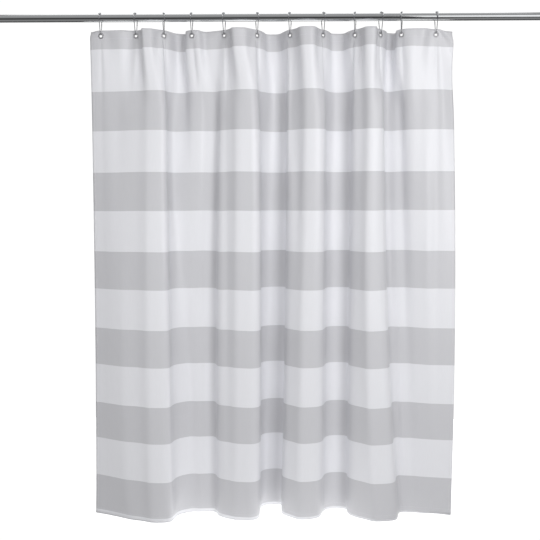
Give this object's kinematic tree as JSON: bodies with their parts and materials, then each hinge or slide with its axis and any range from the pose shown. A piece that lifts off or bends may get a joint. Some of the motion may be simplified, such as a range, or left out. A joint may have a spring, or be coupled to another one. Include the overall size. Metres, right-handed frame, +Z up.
{
  "type": "shower curtain",
  "caption": "Striped fabric shower curtain with metal eyelets, hung by roller rings on a chromed rod between two wall plates.",
  "frame": {"origin": "centre of the left wall plate's back face, on the rod's axis", "axes": "+X along the rod to the right wall, +Z up, the curtain's room side faces -Y"},
  "size_m": [2.177, 0.1788, 1.905],
  "materials": {
    "rod_chrome": "polished",
    "plate_chrome": "polished",
    "screw_steel": "satin",
    "ring_chrome": "polished",
    "eyelet_metal": "satin",
    "curtain_fabric": "matte",
    "hem_fabric": "matte"
  },
  "bodies": {
    "rod": {"rod": "rod_chrome", "left_wall_plate": "plate_chrome", "right_wall_plate": "plate_chrome", "left_plate_screw_1": "screw_steel", "left_plate_screw_2": "screw_steel", "left_plate_screw_3": "screw_steel", "right_plate_screw_1": "screw_steel", "right_plate_screw_2": "screw_steel", "right_plate_screw_3": "screw_steel"},
    "curtain": {"curtain_panel": "curtain_fabric", "top_hem": "hem_fabric", "bottom_hem": "hem_fabric"},
    "ring_01": {"ring_01_loop": "ring_chrome", "eyelet_01": "eyelet_metal", "washer_01": "eyelet_metal"},
    "gate_01": {"ring_01_gate": "ring_chrome"},
    "ring_02": {"ring_02_loop": "ring_chrome", "eyelet_02": "eyelet_metal", "washer_02": "eyelet_metal"},
    "gate_02": {"ring_02_gate": "ring_chrome"},
    "ring_03": {"ring_03_loop": "ring_chrome", "eyelet_03": "eyelet_metal", "washer_03": "eyelet_metal"},
    "gate_03": {"ring_03_gate": "ring_chrome"},
    "ring_04": {"ring_04_loop": "ring_chrome", "eyelet_04": "eyelet_metal", "washer_04": "eyelet_metal"},
    "gate_04": {"ring_04_gate": "ring_chrome"},
    "ring_05": {"ring_05_loop": "ring_chrome", "eyelet_05": "eyelet_metal", "washer_05": "eyelet_metal"},
    "gate_05": {"ring_05_gate": "ring_chrome"},
    "ring_06": {"ring_06_loop": "ring_chrome", "eyelet_06": "eyelet_metal", "washer_06": "eyelet_metal"},
    "gate_06": {"ring_06_gate": "ring_chrome"},
    "ring_07": {"ring_07_loop": "ring_chrome", "eyelet_07": "eyelet_metal", "washer_07": "eyelet_metal"},
    "gate_07": {"ring_07_gate": "ring_chrome"},
    "ring_08": {"ring_08_loop": "ring_chrome", "eyelet_08": "eyelet_metal", "washer_08": "eyelet_metal"},
    "gate_08": {"ring_08_gate": "ring_chrome"},
    "ring_09": {"ring_09_loop": "ring_chrome", "eyelet_09": "eyelet_metal", "washer_09": "eyelet_metal"},
    "gate_09": {"ring_09_gate": "ring_chrome"},
    "ring_10": {"ring_10_loop": "ring_chrome", "eyelet_10": "eyelet_metal", "washer_10": "eyelet_metal"},
    "gate_10": {"ring_10_gate": "ring_chrome"},
    "ring_11": {"ring_11_loop": "ring_chrome", "eyelet_11": "eyelet_metal", "washer_11": "eyelet_metal"},
    "gate_11": {"ring_11_gate": "ring_chrome"},
    "ring_12": {"ring_12_loop": "ring_chrome", "eyelet_12": "eyelet_metal", "washer_12": "eyelet_metal"},
    "gate_12": {"ring_12_gate": "ring_chrome"}
  },
  "joints": [
    {"name": "curtain_swing", "type": "hinge", "parent": "rod", "child": "curtain", "pos_m": [1.06, 0, 0], "axis": [1, 0, 0], "range_deg": [-25, 25]},
    {"name": "curtain_draw", "type": "slide", "parent": "curtain", "child": "ring_01", "axis": [1, 0, 0], "range_m": [0, 1.0842], "deforming": ["curtain_panel", "top_hem", "bottom_hem"]},
    {"name": "ring_02_draw", "type": "slide", "parent": "curtain", "child": "ring_02", "axis": [1, 0, 0], "range_m": [0, 1.0018]},
    {"name": "ring_03_draw", "type": "slide", "parent": "curtain", "child": "ring_03", "axis": [1, 0, 0], "range_m": [0, 0.9362]},
    {"name": "ring_04_draw", "type": "slide", "parent": "curtain", "child": "ring_04", "axis": [1, 0, 0], "range_m": [0, 0.8706]},
    {"name": "ring_05_draw", "type": "slide", "parent": "curtain", "child": "ring_05", "axis": [1, 0, 0], "range_m": [0, 0.7945]},
    {"name": "ring_06_draw", "type": "slide", "parent": "curtain", "child": "ring_06", "axis": [1, 0, 0], "range_m": [0, 0.7171]},
    {"name": "ring_07_draw", "type": "slide", "parent": "curtain", "child": "ring_07", "axis": [1, 0, 0], "range_m": [0, 0.6398]},
    {"name": "ring_08_draw", "type": "slide", "parent": "curtain", "child": "ring_08", "axis": [1, 0, 0], "range_m": [0, 0.5618]},
    {"name": "ring_09_draw", "type": "slide", "parent": "curtain", "child": "ring_09", "axis": [1, 0, 0], "range_m": [0, 0.487]},
    {"name": "ring_10_draw", "type": "slide", "parent": "curtain", "child": "ring_10", "axis": [1, 0, 0], "range_m": [0, 0.4266]},
    {"name": "ring_11_draw", "type": "slide", "parent": "curtain", "child": "ring_11", "axis": [1, 0, 0], "range_m": [0, 0.3778]},
    {"name": "ring_12_draw", "type": "slide", "parent": "curtain", "child": "ring_12", "axis": [1, 0, 0], "range_m": [0, 0.2966]},
    {"name": "gate_01_open", "type": "hinge", "parent": "ring_01", "child": "gate_01", "pos_m": [0.45227, 0.00662, -0.05412], "axis": [-0.9991, 0.0415, 0], "range_deg": [0, 25], "stiffness_Nm_per_rad": 0.1},
    {"name": "gate_02_open", "type": "hinge", "parent": "ring_02", "child": "gate_02", "pos_m": [0.58002, 0.00655, -0.05412], "axis": [-0.9882, 0.1535, 0], "range_deg": [0, 25], "stiffness_Nm_per_rad": 0.1},
    {"name": "gate_03_open", "type": "hinge", "parent": "ring_03", "child": "gate_03", "pos_m": [0.67801, 0.00632, -0.05412], "axis": [-0.9537, -0.3007, 0], "range_deg": [0, 25], "stiffness_Nm_per_rad": 0.1},
    {"name": "gate_04_open", "type": "hinge", "parent": "ring_04", "child": "gate_04", "pos_m": [0.78193, 0.00656, -0.05412], "axis": [-0.9901, 0.1407, 0], "range_deg": [0, 25], "stiffness_Nm_per_rad": 0.1},
    {"name": "gate_05_open", "type": "hinge", "parent": "ring_05", "child": "gate_05", "pos_m": [0.89971, 0.0064, -0.05412], "axis": [-0.9661, 0.2581, 0], "range_deg": [0, 25], "stiffness_Nm_per_rad": 0.1},
    {"name": "gate_06_open", "type": "hinge", "parent": "ring_06", "child": "gate_06", "pos_m": [1.01501, 0.00632, -0.05412], "axis": [-0.9537, -0.3007, 0], "range_deg": [0, 25], "stiffness_Nm_per_rad": 0.1},
    {"name": "gate_07_open", "type": "hinge", "parent": "ring_07", "child": "gate_07", "pos_m": [1.13799, 0.00632, -0.05412], "axis": [-0.9537, 0.3007, 0], "range_deg": [0, 25], "stiffness_Nm_per_rad": 0.1},
    {"name": "gate_08_open", "type": "hinge", "parent": "ring_08", "child": "gate_08", "pos_m": [1.25401, 0.00632, -0.05412], "axis": [-0.9537, -0.3007, 0], "range_deg": [0, 25], "stiffness_Nm_per_rad": 0.1},
    {"name": "gate_09_open", "type": "hinge", "parent": "ring_09", "child": "gate_09", "pos_m": [1.37299, 0.00632, -0.05412], "axis": [-0.9537, 0.3007, 0], "range_deg": [0, 25], "stiffness_Nm_per_rad": 0.1},
    {"name": "gate_10_open", "type": "hinge", "parent": "ring_10", "child": "gate_10", "pos_m": [1.46201, 0.00632, -0.05412], "axis": [-0.9537, -0.3007, 0], "range_deg": [0, 25], "stiffness_Nm_per_rad": 0.1},
    {"name": "gate_11_open", "type": "hinge", "parent": "ring_11", "child": "gate_11", "pos_m": [1.54099, 0.00632, -0.05412], "axis": [-0.9537, 0.3007, 0], "range_deg": [0, 25], "stiffness_Nm_per_rad": 0.1},
    {"name": "gate_12_open", "type": "hinge", "parent": "ring_12", "child": "gate_12", "pos_m": [1.66344, 0.0066, -0.05412], "axis": [-0.9964, -0.0849, 0], "range_deg": [0, 25], "stiffness_Nm_per_rad": 0.1}
  ],
  "couplings": [
    {"joint": "ring_02_draw", "follows": "curtain_draw", "ratio": 0.92386},
    {"joint": "ring_03_draw", "follows": "curtain_draw", "ratio": 0.86331},
    {"joint": "ring_04_draw", "follows": "curtain_draw", "ratio": 0.80276},
    {"joint": "ring_05_draw", "follows": "curtain_draw", "ratio": 0.73261},
    {"joint": "ring_06_draw", "follows": "curtain_draw", "ratio": 0.66127},
    {"joint": "ring_07_draw", "follows": "curtain_draw", "ratio": 0.58993},
    {"joint": "ring_08_draw", "follows": "curtain_draw", "ratio": 0.51799},
    {"joint": "ring_09_draw", "follows": "curtain_draw", "ratio": 0.44904},
    {"joint": "ring_10_draw", "follows": "curtain_draw", "ratio": 0.39329},
    {"joint": "ring_11_draw", "follows": "curtain_draw", "ratio": 0.34832},
    {"joint": "ring_12_draw", "follows": "curtain_draw", "ratio": 0.27338}
  ]
}
